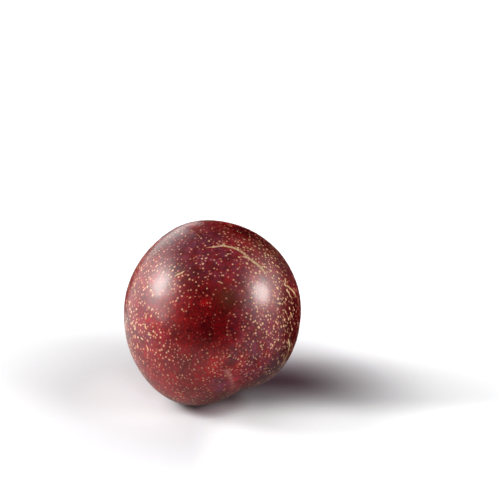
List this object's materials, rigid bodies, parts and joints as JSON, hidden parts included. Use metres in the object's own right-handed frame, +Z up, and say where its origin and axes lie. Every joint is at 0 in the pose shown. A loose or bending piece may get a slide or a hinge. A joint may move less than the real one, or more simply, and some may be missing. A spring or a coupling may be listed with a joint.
{
  "type": "elephant heart plum",
  "caption": "Whole heart-shaped plum with a tapered blossom tip, a shallow suture between its cheeks and a sunken stem cavity, lying on its side.",
  "frame": {"origin": "middle of the flat spot that the fruit rests on", "axes": "+Z up, away from the surface it rests on; the blossom tip points along -Y, turned a little to +X, and the stem cavity faces +Y"},
  "size_m": [0.0584, 0.0598, 0.0593],
  "materials": {
    "skin": "waxy dark crimson skin with a thin bloom, golden dots and fine russet lines"
  },
  "bodies": {
    "root": {"plum": "skin"}
  },
  "joints": []
}
